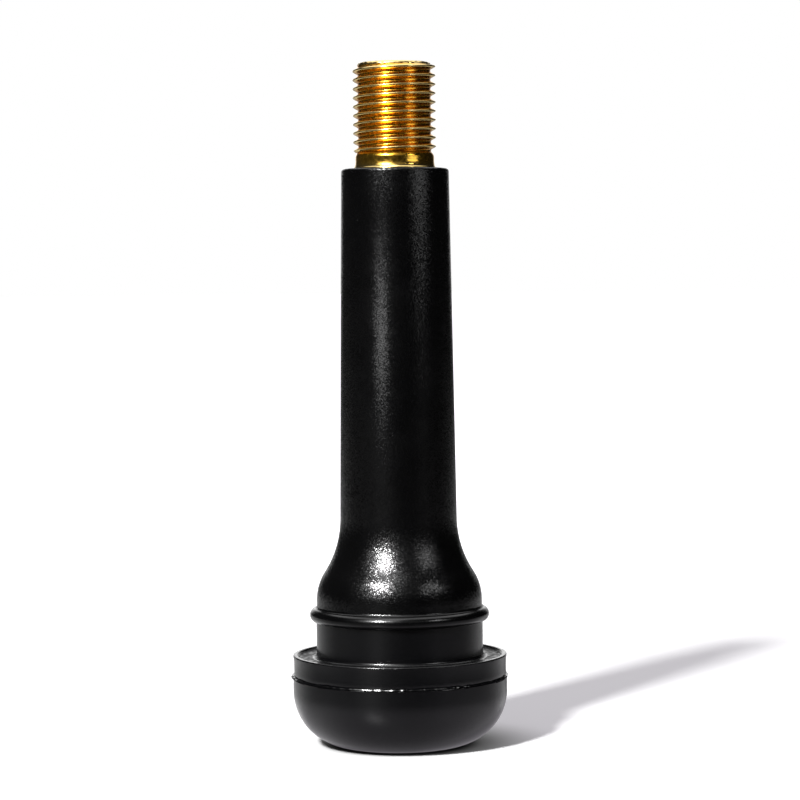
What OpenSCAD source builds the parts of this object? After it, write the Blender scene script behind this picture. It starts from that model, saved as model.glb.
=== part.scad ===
// Long snap-in tubeless tyre valve: a rubber body moulded round a turned brass stem,
// with a swivel valve core screwed into the stem's mouth.
// Millimetres, +Z up, origin at the centre of the sole that the valve stands on.
// The cap thread is drawn as a plain cylinder at its major diameter,
// and the core thread as plain cylinders on each side of its pitch diameter.

/* [Overall] */
// Length from the sole to the tip of the brass stem
valve_length = 61.5; // [55:0.5:68]

/* [Rubber foot] */
// Diameter of the foot below the parting line
foot_d = 19.35; // [18.4:0.05:20]
// Diameter of the flat sole
sole_d = 9.45; // [8.6:0.05:12]
// Height of the mould's parting line above the sole
seam_z = 6.25; // [5.6:0.05:6.8]
// How far the flash along the parting line stands out of the foot
flash_proud = 0.06; // [0.02:0.01:0.2]
// Thickness of the flash
flash_t = 0.12; // [0.06:0.02:0.3]
// Diameter of the sealing band above the parting line
band_d = 19.2; // [18.2:0.1:19.3]
// Height of the sealing lip above the sole
lip_z = 8.25; // [7.6:0.05:9]
// Width of the sealing lip at its top
lip_w = 0.35; // [0.25:0.05:0.6]
// Rounding of the sealing lip's outer edge
lip_edge_r = 0.12; // [0.05:0.01:0.2]
// Depth of the dish between the lip and the neck
dish_depth = 0.26; // [0.2:0.02:0.8]
// Width of the slope from the lip into the dish
dish_slope = 0.25; // [0.1:0.05:0.6]

/* [Rubber neck] */
// Diameter of the groove that the wheel's rim sits in
neck_d = 15.05; // [14.2:0.05:15.4]
// Fillet at the bottom of the groove
neck_fillet_r = 0.4; // [0.1:0.05:0.6]
// Height of the retaining bead's middle above the sealing lip
bead_rise = 3.6; // [3.2:0.05:5]
// Diameter over the retaining bead
bead_d = 16.2; // [15.6:0.1:16.4]
// Radius of the bead's round section
bead_section_r = 0.63; // [0.5:0.01:1]
// Fillet between the bead and the bulb above it
bead_fillet_r = 0.25; // [0.2:0.05:0.7]
// Diameter of the bulb above the bead
bulb_d = 14.95; // [14:0.05:15.4]
// Height of the bulb's straight side
bulb_side = 0.45; // [0.1:0.05:1.5]

/* [Rubber shoulder and tube] */
// Radius of the shoulder's rounded lower part
shoulder_convex_r = 4.8; // [3.5:0.1:7]
// Radius of the shoulder's hollow upper part
shoulder_concave_r = 9; // [7:0.5:14]
// Tube diameter where it leaves the shoulder
tube_d = 10.55; // [9.8:0.05:11.4]
// Tube diameter at the top face
tube_top_d = 9.7; // [9.2:0.05:10.2]
// Rounding of the tube's top edge
tube_edge_r = 0.3; // [0.1:0.05:0.6]

/* [Air passage] */
// Diameter of the air hole through the rubber foot
air_hole_d = 4.6; // [4:0.1:5.4]
// Diameter of the air hole's flared mouth in the sole
air_mouth_d = 6.4; // [5.6:0.1:7.4]
// Depth of the flared mouth
air_mouth_depth = 1; // [0.4:0.1:2]

/* [Brass stem outside] */
// Major diameter of the cap thread
cap_thread_d = 7.6; // [7.5:0.05:7.7]
// Length of the cap thread
cap_thread_length = 7.2; // [6.5:0.1:9]
// Diameter of the plain lead above the cap thread
lead_d = 6.6; // [6.4:0.05:7]
// Height of the plain lead
lead_length = 0.55; // [0.4:0.05:0.8]
// Chamfer round the tip
tip_chamfer = 0.2; // [0.1:0.05:0.3]
// Height of the chamfer from the lead to the cap thread
thread_start = 0.25; // [0.1:0.05:0.4]
// Diameter of the plain shank under the cap thread
shank_d = 7.05; // [6.9:0.01:7.4]
// Length of the plain shank
shank_length = 0.85; // [0.4:0.05:2]
// Diameter of the collar where the stem enters the rubber
collar_d = 7.5; // [7.4:0.05:8]
// Height of the collar's flare above the rubber
collar_flare = 0.65; // [0.3:0.05:0.9]
// Depth of the collar in the rubber
collar_depth = 1.6; // [0.8:0.1:3]
// Diameter of the stem inside the rubber
insert_d = 6.5; // [6:0.1:7]
// Number of grooves that key the stem to the rubber
key_count = 5; // [2:1:7]
// Distance from one key groove to the next
key_spacing = 3.6; // [2.8:0.1:4]
// Width of a key groove
key_w = 1.4; // [0.8:0.1:2]
// Depth of a key groove
key_depth = 0.3; // [0.1:0.05:0.4]
// Diameter of the flange on the stem's foot
stem_foot_d = 9; // [8:0.1:10]
// Thickness of the flange on the stem's foot
stem_foot_t = 1.2; // [0.8:0.1:2]
// Height of the stem's foot above the sole
stem_foot_z = 14.4; // [13.5:0.1:16]
// Diameter of the stem's air bore below the core chamber
stem_bore_d = 3; // [2.4:0.1:3.4]

/* [Core chamber in the stem] */
// Diameter of the countersunk mouth at the tip
mouth_d = 5.7; // [5.4:0.05:5.9]
// Depth of the countersunk mouth
mouth_depth = 0.45; // [0.3:0.05:0.6]
// Pitch diameter of the core thread
core_thread_d = 4.84; // [4.76:0.01:4.92]
// Depth of the core seat's upper edge below the tip
seat_depth = 8.1; // [8:0.05:9]
// Diameter of the core seat's upper edge
seat_d = 4.4; // [4.34:0.02:4.5]
// Length of the conical core seat
seat_length = 1.3; // [1:0.05:1.6]
// Height of the plain cone between the core seat and the core thread
seat_lead = 0.6; // [0.3:0.05:1]
// Diameter of the chamber round the core's barrel
chamber_d = 3.9; // [3.84:0.02:4]
// Free depth of the chamber under the core
chamber_room = 3.5; // [2:0.5:8]

/* [Core plug] */
// Height of the plug's flatted head
head_h = 2.2; // [1.8:0.1:2.3]
// How far the head lies inside the core thread's pitch diameter
head_inset = 0.2; // [0.15:0.05:0.4]
// Wall between the head's flats and the pin's hole
head_wall = 0.35; // [0.25:0.05:0.5]
// Length of the plug's threaded part
plug_thread_length = 3; // [2.4:0.1:3.1]
// Air gap round the pin's head in the plug
pin_gap = 0.2; // [0.1:0.02:0.26]
// Wall of the spigot that swivels in the barrel
spigot_wall = 0.43; // [0.3:0.01:0.48]
// How far the holding flange stands out of the spigot
spigot_ledge = 0.32; // [0.2:0.02:0.36]
// Thickness of the holding flange
spigot_flange_t = 0.5; // [0.4:0.05:0.7]

/* [Core barrel and gasket] */
// Gap between the barrel's head and the core seat's upper edge
barrel_head_gap = 0.15; // [0.1:0.01:0.2]
// Thickness of the lip crimped over the plug's flange
crimp_t = 0.5; // [0.4:0.05:0.6]
// Thickness of the metal between the flange's pocket and the gasket
pocket_floor = 0.27; // [0.2:0.01:0.4]
// Air gap round the barrel in its chamber
barrel_gap = 0.15; // [0.1:0.01:0.2]
// Thickness of the barrel's wall inside the gasket
barrel_wall = 0.3; // [0.2:0.01:0.36]
// How far the gasket lies below the core seat's upper edge
gasket_sink = 0.1; // [0:0.05:0.3]
// Height of the barrel gasket
gasket_h = 2; // [1.6:0.1:2.4]
// Depth of the gasket's groove in the barrel
gasket_groove = 0.1; // [0.04:0.02:0.14]
// Inside length of the spring chamber
spring_room = 5.7; // [5:0.1:7]
// Thickness of the barrel's floor
floor_t = 0.4; // [0.3:0.05:0.6]
// Air gap round the pin in the barrel's floor
floor_gap = 0.35; // [0.25:0.05:0.45]
// Distance from the hole in the floor to the sealing edge
edge_inset = 0.3; // [0.22:0.02:0.4]
// Height of the sealing edge under the floor
edge_h = 0.25; // [0.15:0.05:0.4]

/* [Core pin and cup] */
// Diameter of the pin
pin_d = 1.2; // [1.1:0.02:1.26]
// How far the pin stands above the plug's head
pin_proud = 1.25; // [0.9:0.05:1.5]
// Diameter of the pin's rounded head
pin_head_d = 1.5; // [1.4:0.02:1.6]
// Height of the pin's rounded head
pin_head_h = 0.5; // [0.3:0.05:0.6]
// Air gap round the pin's collar in the barrel
collar_gap = 0.2; // [0.1:0.02:0.26]
// Thickness of the pin's collar
pin_collar_t = 0.35; // [0.25:0.05:0.5]
// Gap between the pin's collar and the plug at rest
pin_collar_drop = 0.4; // [0.2:0.05:0.6]
// Air gap round the cup in the chamber
cup_gap = 0.25; // [0.15:0.01:0.3]
// Wall of the cup
cup_wall = 0.22; // [0.18:0.02:0.3]
// Height of the cup
cup_h = 1.7; // [1.4:0.1:2]
// How far the cup's gasket stands above the cup's rim
cup_gasket_proud = 0.15; // [0.08:0.01:0.25]
// How far the rivet under the cup stands out of the pin
rivet_ledge = 0.25; // [0.18:0.01:0.4]
// Height of the rivet under the cup
rivet_h = 0.35; // [0.2:0.05:0.5]

/* [Core spring] */
// Wire diameter of the spring
wire_d = 0.3; // [0.24:0.02:0.34]
// Gap between the spring and the barrel's wall
coil_gap = 0.2; // [0.1:0.02:0.26]
// Working turns of the spring
coil_turns = 5; // [3:1:6]

/* [Fits] */
// Running clearance beside each face that moves or seals
clearance = 0.04; // [0.02:0.01:0.05]

/* [Hidden] */
$fn = 96;
arc_steps = 20;
past = 1;
RUBBER = "#1b1b1d";
BRASS = "#c99a3c";
SEAL = "#8c2f25";
STEEL = "#b9bcc0";

// Rubber foot, from the sole up to the dish
foot_round = (foot_d - sole_d) / 2;
dish_z = lip_z - dish_depth;
dish_r = band_d / 2 - lip_w - dish_slope;

// Retaining bead and the fillet above it
bead_z = lip_z + bead_rise;
bead_middle_r = bead_d / 2 - bead_section_r;
bead_under_angle = acos((neck_d / 2 - bead_middle_r) / bead_section_r);
fillet_middle_r = bulb_d / 2 + bead_fillet_r;
fillet_out = fillet_middle_r - bead_middle_r;
fillet_up = sqrt(pow(bead_section_r + bead_fillet_r, 2) - pow(fillet_out, 2));
fillet_angle = atan2(fillet_up, fillet_out);

// Shoulder: a rounded arc that runs into a hollow one at the same slope
bulb_z = bead_z + fillet_up + bulb_side;
shoulder_turn = acos(1 - (bulb_d - tube_d) / 2 / (shoulder_convex_r + shoulder_concave_r));
shoulder_z = bulb_z + (shoulder_convex_r + shoulder_concave_r) * sin(shoulder_turn);

// Brass stem outside, from the tip down
thread_top = valve_length - lead_length - thread_start;
thread_foot = thread_top - cap_thread_length;
flare_top = thread_foot - shank_length;
rubber_length = flare_top - collar_flare;
collar_foot = rubber_length - collar_depth;
key_first = stem_foot_z + stem_foot_t + key_spacing;

// Core seat in the stem, which sets the height of the whole core
seat_top = valve_length - seat_depth;
seat_foot = seat_top - seat_length;
gasket_top = seat_top - gasket_sink;
gasket_foot = gasket_top - gasket_h;

// Core diameters, from the pin outwards and from the chamber inwards
plug_hole_d = pin_head_d + 2 * pin_gap;
spigot_d = plug_hole_d + 2 * spigot_wall;
spigot_flange_d = spigot_d + 2 * spigot_ledge;
pocket_d = spigot_flange_d + 2 * clearance;
barrel_head_d = seat_d - 2 * barrel_head_gap;
barrel_d = chamber_d - 2 * barrel_gap;
gasket_bore_d = barrel_d - 2 * gasket_groove;
spring_bore_d = gasket_bore_d - 2 * barrel_wall;
floor_hole_d = pin_d + 2 * floor_gap;
edge_d = floor_hole_d + 2 * edge_inset;
pin_collar_d = spring_bore_d - 2 * collar_gap;
coil_d = spring_bore_d - 2 * coil_gap - wire_d;
cup_d = chamber_d - 2 * cup_gap;
rivet_d = pin_d + 2 * rivet_ledge;

// Core heights, up from the gasket to the pin's top
pocket_foot = gasket_top + pocket_floor;
spigot_foot = pocket_foot + clearance;
spigot_flange_top = spigot_foot + spigot_flange_t;
crimp_foot = spigot_flange_top + clearance;
barrel_top = crimp_foot + crimp_t;
plug_thread_foot = barrel_top + clearance;
plug_thread_top = plug_thread_foot + plug_thread_length;
head_top = plug_thread_top + head_h;
pin_top = head_top + pin_proud;

// Core heights, down from the plug to the rivet
pin_collar_top = spigot_foot - pin_collar_drop;
pin_collar_foot = pin_collar_top - pin_collar_t;
floor_top = pocket_foot - spring_room;
barrel_foot = floor_top - floor_t;
edge_z = barrel_foot - edge_h;
cup_gasket_top = edge_z - clearance;
cup_top = cup_gasket_top - cup_gasket_proud;
cup_foot = cup_top - cup_h;
cup_floor = cup_foot + cup_wall;
pin_foot = cup_foot - rivet_h;
chamber_foot = pin_foot - chamber_room;

// Points on an arc from one angle to another
function arc(middle, r, from, to) =
    [for (i = [0:arc_steps]) middle + r * [cos(from + (to - from) * i / arc_steps),
                                           sin(from + (to - from) * i / arc_steps)]];

// Radius of the core seat's cone at a height
function seat_r(z) =
    chamber_d / 2 + (seat_d - chamber_d) / 2 * (z - seat_foot) / seat_length;

// Half section of the rubber body, as if it were filled
rubber_outline = concat(
    [[0, 0]],
    arc([sole_d / 2, foot_round], foot_round, -90, 0),
    [[foot_d / 2, seam_z - flash_t / 2 - flash_proud],
     [foot_d / 2 + flash_proud, seam_z - flash_t / 2],
     [foot_d / 2 + flash_proud, seam_z + flash_t / 2],
     [band_d / 2, seam_z + flash_t / 2]],
    arc([band_d / 2 - lip_edge_r, lip_z - lip_edge_r], lip_edge_r, 0, 90),
    [[band_d / 2 - lip_w, lip_z], [dish_r, dish_z]],
    arc([neck_d / 2 + neck_fillet_r, dish_z + neck_fillet_r], neck_fillet_r, 270, 180),
    arc([bead_middle_r, bead_z], bead_section_r, -bead_under_angle, fillet_angle),
    arc([fillet_middle_r, bead_z + fillet_up], bead_fillet_r, 180 + fillet_angle, 180),
    arc([bulb_d / 2 - shoulder_convex_r, bulb_z], shoulder_convex_r, 0, shoulder_turn),
    arc([tube_d / 2 + shoulder_concave_r, shoulder_z], shoulder_concave_r,
        180 + shoulder_turn, 180),
    arc([tube_top_d / 2 - tube_edge_r, rubber_length - tube_edge_r], tube_edge_r, 0, 90),
    [[0, rubber_length]]);

// Half section of the air hole through the rubber, up into the stem's foot
air_outline = [
    [0, -past],
    [air_mouth_d / 2, -past],
    [air_mouth_d / 2, 0],
    [air_hole_d / 2, air_mouth_depth],
    [air_hole_d / 2, stem_foot_z + stem_foot_t / 2],
    [0, stem_foot_z + stem_foot_t / 2]];

// Half section of the brass stem, as if it were filled
stem_outline = concat(
    [[0, stem_foot_z],
     [stem_foot_d / 2, stem_foot_z],
     [stem_foot_d / 2, stem_foot_z + stem_foot_t],
     [insert_d / 2, stem_foot_z + stem_foot_t]],
    [for (k = [0:key_count - 1], p = [[0, 0], [1, 0], [1, 1], [0, 1]])
        [insert_d / 2 - p[0] * key_depth, key_first + k * key_spacing + p[1] * key_w]],
    [[insert_d / 2, collar_foot - (collar_d - insert_d) / 2],
     [collar_d / 2, collar_foot],
     [collar_d / 2, rubber_length],
     [shank_d / 2, flare_top],
     [shank_d / 2, thread_foot],
     [cap_thread_d / 2, thread_foot],
     [cap_thread_d / 2, thread_top],
     [lead_d / 2, thread_top + thread_start],
     [lead_d / 2, valve_length - tip_chamfer],
     [lead_d / 2 - tip_chamfer, valve_length],
     [0, valve_length]]);

// Half section of the stem's bore, from its foot to its mouth
bore_outline = [
    [0, stem_foot_z - past],
    [stem_bore_d / 2, stem_foot_z - past],
    [stem_bore_d / 2, chamber_foot - (chamber_d - stem_bore_d) / 2],
    [chamber_d / 2, chamber_foot],
    [chamber_d / 2, seat_foot],
    [seat_d / 2, seat_top],
    [core_thread_d / 2 + clearance, seat_top + seat_lead],
    [core_thread_d / 2 + clearance, valve_length - mouth_depth],
    [mouth_d / 2, valve_length],
    [mouth_d / 2, valve_length + past],
    [0, valve_length + past]];

module rubber_body() {
    color(RUBBER) rotate_extrude() difference() {
        polygon(rubber_outline);
        polygon(stem_outline);
        polygon(air_outline);
    }
}

module brass_stem() {
    color(BRASS) rotate_extrude() difference() {
        polygon(stem_outline);
        polygon(bore_outline);
    }
}

// Threaded plug with two flats for the core tool, and a spigot that swivels in the barrel
module core_plug() {
    thread_d = core_thread_d - 2 * clearance;
    head_d = core_thread_d - 2 * head_inset;
    head_root = plug_thread_top - plug_thread_length / 2;
    flats = plug_hole_d + 2 * head_wall;
    color(BRASS) difference() {
        union() {
            rotate_extrude() polygon([
                [0, spigot_foot],
                [spigot_flange_d / 2, spigot_foot],
                [spigot_flange_d / 2, spigot_flange_top],
                [spigot_d / 2, spigot_flange_top],
                [spigot_d / 2, plug_thread_foot],
                [thread_d / 2, plug_thread_foot],
                [thread_d / 2, plug_thread_top],
                [0, plug_thread_top]]);
            intersection() {
                translate([0, 0, head_root]) cylinder(d = head_d, h = head_top - head_root);
                translate([-head_d, -flats / 2, head_root])
                    cube([2 * head_d, flats, head_top - head_root]);
            }
        }
        translate([0, 0, spigot_foot - past])
            cylinder(d = plug_hole_d, h = head_top - spigot_foot + 2 * past);
    }
}

// Barrel with a lip crimped over the plug's flange and a sealing edge round its lower hole
module core_barrel() {
    color(BRASS) rotate_extrude() polygon([
        [floor_hole_d / 2, floor_top],
        [spring_bore_d / 2, floor_top],
        [spring_bore_d / 2, pocket_foot],
        [pocket_d / 2, pocket_foot],
        [pocket_d / 2, crimp_foot],
        [spigot_d / 2 + clearance, crimp_foot],
        [spigot_d / 2 + clearance, barrel_top],
        [barrel_head_d / 2, barrel_top],
        [barrel_head_d / 2, gasket_top],
        [gasket_bore_d / 2, gasket_top],
        [gasket_bore_d / 2, gasket_foot],
        [barrel_d / 2, gasket_foot],
        [barrel_d / 2, barrel_foot],
        [edge_d / 2 + edge_h / 2, barrel_foot],
        [edge_d / 2, edge_z],
        [edge_d / 2 - edge_h / 2, barrel_foot],
        [floor_hole_d / 2, barrel_foot]]);
}

// Tapered ring that seals the barrel in the stem's conical seat
module barrel_gasket() {
    color(SEAL) rotate_extrude() polygon([
        [gasket_bore_d / 2, gasket_foot],
        [chamber_d / 2 - clearance, gasket_foot],
        [chamber_d / 2 - clearance, seat_foot],
        [seat_r(gasket_top) - clearance, gasket_top],
        [gasket_bore_d / 2, gasket_top]]);
}

// Pin with a rounded head, a collar for the spring and a rivet under the cup
module core_pin() {
    head_foot = pin_top - pin_head_h;
    round_r = pin_head_h / 2;
    color(BRASS) rotate_extrude() polygon(concat(
        [[0, pin_foot],
         [rivet_d / 2 - rivet_h / 2, pin_foot],
         [rivet_d / 2, pin_foot + rivet_h / 2],
         [rivet_d / 2, cup_foot],
         [pin_d / 2, cup_foot],
         [pin_d / 2, pin_collar_foot],
         [pin_collar_d / 2, pin_collar_foot],
         [pin_collar_d / 2, pin_collar_top],
         [pin_d / 2, pin_collar_top],
         [pin_d / 2, head_foot - (pin_head_d - pin_d) / 2],
         [pin_head_d / 2, head_foot]],
        arc([pin_head_d / 2 - round_r, pin_top - round_r], round_r, 0, 90),
        [[0, pin_top]]));
}

// Cup riveted to the pin's foot
module pin_cup() {
    color(BRASS) rotate_extrude() polygon([
        [pin_d / 2, cup_foot],
        [cup_d / 2 - cup_wall, cup_foot],
        [cup_d / 2, cup_floor],
        [cup_d / 2, cup_top],
        [cup_d / 2 - cup_wall, cup_top],
        [cup_d / 2 - cup_wall, cup_floor],
        [pin_d / 2, cup_floor]]);
}

// Sealing washer that fills the cup and meets the barrel's sealing edge
module cup_gasket() {
    washer_r = cup_d / 2 - cup_wall;
    bevel = cup_gasket_proud / 2;
    color(SEAL) rotate_extrude() polygon([
        [pin_d / 2, cup_floor],
        [washer_r, cup_floor],
        [washer_r, cup_gasket_top - bevel],
        [washer_r - bevel, cup_gasket_top],
        [pin_d / 2, cup_gasket_top]]);
}

// Helical spring with one closed turn at each end
module core_spring() {
    sides = 8;
    rings_per_turn = 20;
    closed_turns = 1;
    closed_rise = wire_d + clearance / 2;
    turns = coil_turns + 2 * closed_turns;
    rings = turns * rings_per_turn;
    low = floor_top + clearance + wire_d / 2;
    high = pin_collar_foot - clearance - wire_d / 2;
    working_rise = (high - low - 2 * closed_turns * closed_rise) / coil_turns;
    function rise(t) =
        t < closed_turns ? t * closed_rise
        : t < turns - closed_turns ? closed_turns * closed_rise + (t - closed_turns) * working_rise
        : high - low - (turns - t) * closed_rise;
    function ring(i) =
        let (t = i / rings_per_turn, a = 360 * t)
        [for (s = [0:sides - 1])
            let (r = coil_d / 2 + wire_d / 2 * cos(360 * s / sides))
            [r * cos(a), r * sin(a), low + rise(t) + wire_d / 2 * sin(360 * s / sides)]];
    points = [for (i = [0:rings], p = ring(i)) p];
    walls = [for (i = [0:rings - 1], s = [0:sides - 1])
        let (n = (s + 1) % sides)
        [i * sides + s, i * sides + n, (i + 1) * sides + n, (i + 1) * sides + s]];
    first_cap = [for (s = [sides - 1:-1:0]) s];
    last_cap = [for (s = [0:sides - 1]) rings * sides + s];
    color(STEEL) polyhedron(points = points, faces = concat(walls, [first_cap, last_cap]));
}

rubber_body();
brass_stem();
core_plug();
core_barrel();
barrel_gasket();
core_pin();
core_spring();
pin_cup();
cup_gasket();
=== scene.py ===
"""Dresses a long snap-in tyre valve: moulded rubber body, threaded brass stem and sprung valve core.

Sizes are written in millimetres in the frame of the solids, with the sole at z = 0 and the stem
along +Z. Each mesh is scaled to metres when it is done. The lamps and the floor's shading are in metres.
"""

import logging
import math
from dataclasses import dataclass
from enum import Enum
from typing import Callable, Optional, Union

import bmesh
import bpy
from mathutils import Euler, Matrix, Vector, noise


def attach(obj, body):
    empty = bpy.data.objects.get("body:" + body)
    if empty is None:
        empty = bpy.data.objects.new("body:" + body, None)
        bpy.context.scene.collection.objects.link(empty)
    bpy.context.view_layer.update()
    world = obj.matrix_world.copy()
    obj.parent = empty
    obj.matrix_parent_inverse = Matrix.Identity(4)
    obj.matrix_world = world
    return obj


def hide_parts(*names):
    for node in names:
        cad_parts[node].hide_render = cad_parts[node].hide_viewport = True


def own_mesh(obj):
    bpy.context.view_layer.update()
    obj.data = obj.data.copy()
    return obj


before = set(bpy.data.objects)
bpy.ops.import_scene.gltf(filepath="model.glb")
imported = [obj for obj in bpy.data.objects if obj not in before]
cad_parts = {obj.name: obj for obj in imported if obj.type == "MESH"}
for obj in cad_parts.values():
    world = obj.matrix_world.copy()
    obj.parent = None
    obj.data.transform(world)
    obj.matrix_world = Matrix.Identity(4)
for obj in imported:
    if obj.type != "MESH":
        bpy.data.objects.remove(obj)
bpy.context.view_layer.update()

MM = 0.001
FULL_TURN = 2.0 * math.pi
SHARP_ANGLE = math.radians(50.0)
CORNER_STEPS = 3
MERGE_GAP = 1e-4
TOUCH = 1e-3
LOG = logging.getLogger("tyre_valve")

Value = Union[float, tuple, bpy.types.NodeSocket]

# Where an ease starts and ends, then the values there where they aren't 0 and 1
Ease = tuple[float, ...]


class Body(Enum):
    """Bodies of the frame that a piece can ride on."""

    STEM = "stem"
    BARREL = "barrel"
    PLUG = "plug"
    PIN = "pin"


class Slot(Enum):
    """Finishes that the record names."""

    BODY_RUBBER = "body_rubber"
    STEM_BRASS = "stem_brass"
    CORE_BRASS = "core_brass"
    SEAL = "seal"
    SPRING_STEEL = "spring_steel"


def smooth_step(value: float, low: float, high: float) -> float:
    """Eases from 0 at one value to 1 at another.

    Args:
        value: The value to ease.
        low: Where the result is 0.
        high: Where the result is 1; it may be below low.

    Returns:
        A share from 0 to 1.
    """
    share = min(1.0, max(0.0, (value - low) / (high - low)))
    return share * share * (3.0 - 2.0 * share)


def waver(point: Vector, scale: float, seed: tuple) -> float:
    """Reads a smooth random value at a point.

    Args:
        point: The point.
        scale: Waves per millimetre.
        seed: Shift that picks the pattern.

    Returns:
        A value from about -1 to 1.
    """
    return noise.noise(point * scale + Vector(seed))


def push_out(vert: bmesh.types.BMVert, push: float) -> None:
    """Moves a point away from the Z axis by a distance."""
    r = math.hypot(vert.co.x, vert.co.y)
    vert.co.x *= (r + push) / r
    vert.co.y *= (r + push) / r


def add_object(name: str, data: bpy.types.ID) -> bpy.types.Object:
    """Makes an object of some data and links it to the scene."""
    made = bpy.data.objects.new(name, data)
    bpy.context.scene.collection.objects.link(made)
    return made


class SectionPen:
    """Draws half a section in the XZ plane, stroke by stroke, and turns it round the Z axis."""

    def __init__(self, r: float, z: float) -> None:
        """Puts the pen down at a radius and a height."""
        self.bm = bmesh.new()
        self.first = self.bm.verts.new((r, 0.0, z))
        self.last = self.first
        self.corners: dict[float, list[bmesh.types.BMVert]] = {}

    def line(self, r: float, z: float, soft: float = 0.0, cuts: int = 0) -> "SectionPen":
        """Draws a straight stroke.

        Args:
            r: Radius of the stroke's end.
            z: Height of the stroke's end.
            soft: Rounding of the corner at the stroke's end.
            cuts: How many points divide the stroke.

        Returns:
            The pen, for the next stroke.
        """
        start, end = self.last.co.copy(), Vector((r, 0.0, z))
        for step in range(1, cuts + 2):
            self.last = bmesh.ops.extrude_vert_indiv(self.bm, verts=[self.last])["verts"][0]
            self.last.co = start.lerp(end, step / (cuts + 1))
        if soft:
            self.corners.setdefault(soft, []).append(self.last)
        return self

    def arc(self, r: float, z: float, turn: float, steps: int) -> "SectionPen":
        """Draws an arc about a centre.

        Args:
            r: Radius of the centre.
            z: Height of the centre.
            turn: Angle in degrees, positive from +X to +Z.
            steps: How many straight pieces the arc has.

        Returns:
            The pen, for the next stroke.
        """
        swept = bmesh.ops.spin(self.bm, geom=[self.last], cent=(r, 0.0, z), axis=(0.0, -1.0, 0.0),
                               angle=math.radians(turn), steps=steps, use_merge=False)
        self.last = next(e for e in swept["geom_last"] if isinstance(e, bmesh.types.BMVert))
        return self

    def close(self) -> "SectionPen":
        """Joins the last point to the first."""
        self.bm.edges.new((self.last, self.first))
        return self

    def turn(self, steps: int) -> bmesh.types.BMesh:
        """Rounds the soft corners and turns the section into a solid of revolution.

        Args:
            steps: How many faces go round the axis.

        Returns:
            The closed mesh, in millimetres.
        """
        for soft, corners in self.corners.items():
            bmesh.ops.bevel(self.bm, geom=corners, offset=soft, offset_type="OFFSET",
                            segments=CORNER_STEPS, profile=0.5, affect="VERTICES", material=-1)
        bmesh.ops.spin(self.bm, geom=self.bm.verts[:] + self.bm.edges[:], cent=(0.0, 0.0, 0.0),
                       axis=(0.0, 0.0, 1.0), angle=FULL_TURN, steps=steps, use_merge=True)
        bmesh.ops.remove_doubles(self.bm, verts=self.bm.verts, dist=MERGE_GAP)
        bmesh.ops.recalc_face_normals(self.bm, faces=self.bm.faces)
        return self.bm


@dataclass(frozen=True)
class Thread:
    """A right-handed screw thread that is pressed into the rings of a turned mesh."""

    pitch: float
    crest_r: float
    root_r: float
    crest_z: float
    rings: int
    flank: float = 0.42
    rounding: float = 0.25
    crest: float = 0.0

    @property
    def ring_gap(self) -> float:
        """Distance between the rings that carry the thread."""
        return self.pitch / self.rings

    def ring_z(self, index: int) -> float:
        """Height of a ring, counted from the one that holds the crest at +X."""
        return self.crest_z + index * self.ring_gap

    def form(self, phase: float) -> float:
        """Height of the tooth at a phase.

        Args:
            phase: Turns from the crest.

        Returns:
            1 on the crest and 0 in the root.
        """
        away = abs((phase + 0.5) % 1.0 - 0.5)
        flat = min(1.0, max(0.0, 1.0 - (away - self.crest) / self.flank))
        return flat + (smooth_step(flat, 0.0, 1.0) - flat) * self.rounding

    def press(self, bm: bmesh.types.BMesh, base_r: float, low: int, high: int,
              limit: Callable[[float, float], float]) -> None:
        """Moves the rings of a plain cylinder along the helix and onto the tooth form.

        Args:
            bm: The turned mesh.
            base_r: Radius of the plain cylinder.
            low: Index of its lowest ring.
            high: Index of its highest ring.
            limit: Takes a height and a radius and returns the radius that is left there.
        """
        bottom, top = self.ring_z(low), self.ring_z(high)
        moved = set()
        for vert in bm.verts:
            x, y, z = vert.co
            if abs(math.hypot(x, y) - base_r) > 2 * TOUCH or not bottom - TOUCH < z < top + TOUCH:
                continue
            turns = (math.atan2(y, x) / FULL_TURN) % 1.0
            if bottom + 0.5 * self.ring_gap < z < top - 1.5 * self.ring_gap:
                z += (turns * self.rings) % 1.0 * self.ring_gap
            tooth = self.form((z - self.crest_z) / self.pitch - turns)
            r = limit(z, self.root_r + (self.crest_r - self.root_r) * tooth)
            vert.co = (r * math.cos(turns * FULL_TURN), r * math.sin(turns * FULL_TURN), z)
            moved.add(vert)
        faces = [f for f in bm.faces if all(v in moved for v in f.verts)]
        bmesh.ops.triangulate(bm, faces=faces, quad_method="SHORT_EDGE")


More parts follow.
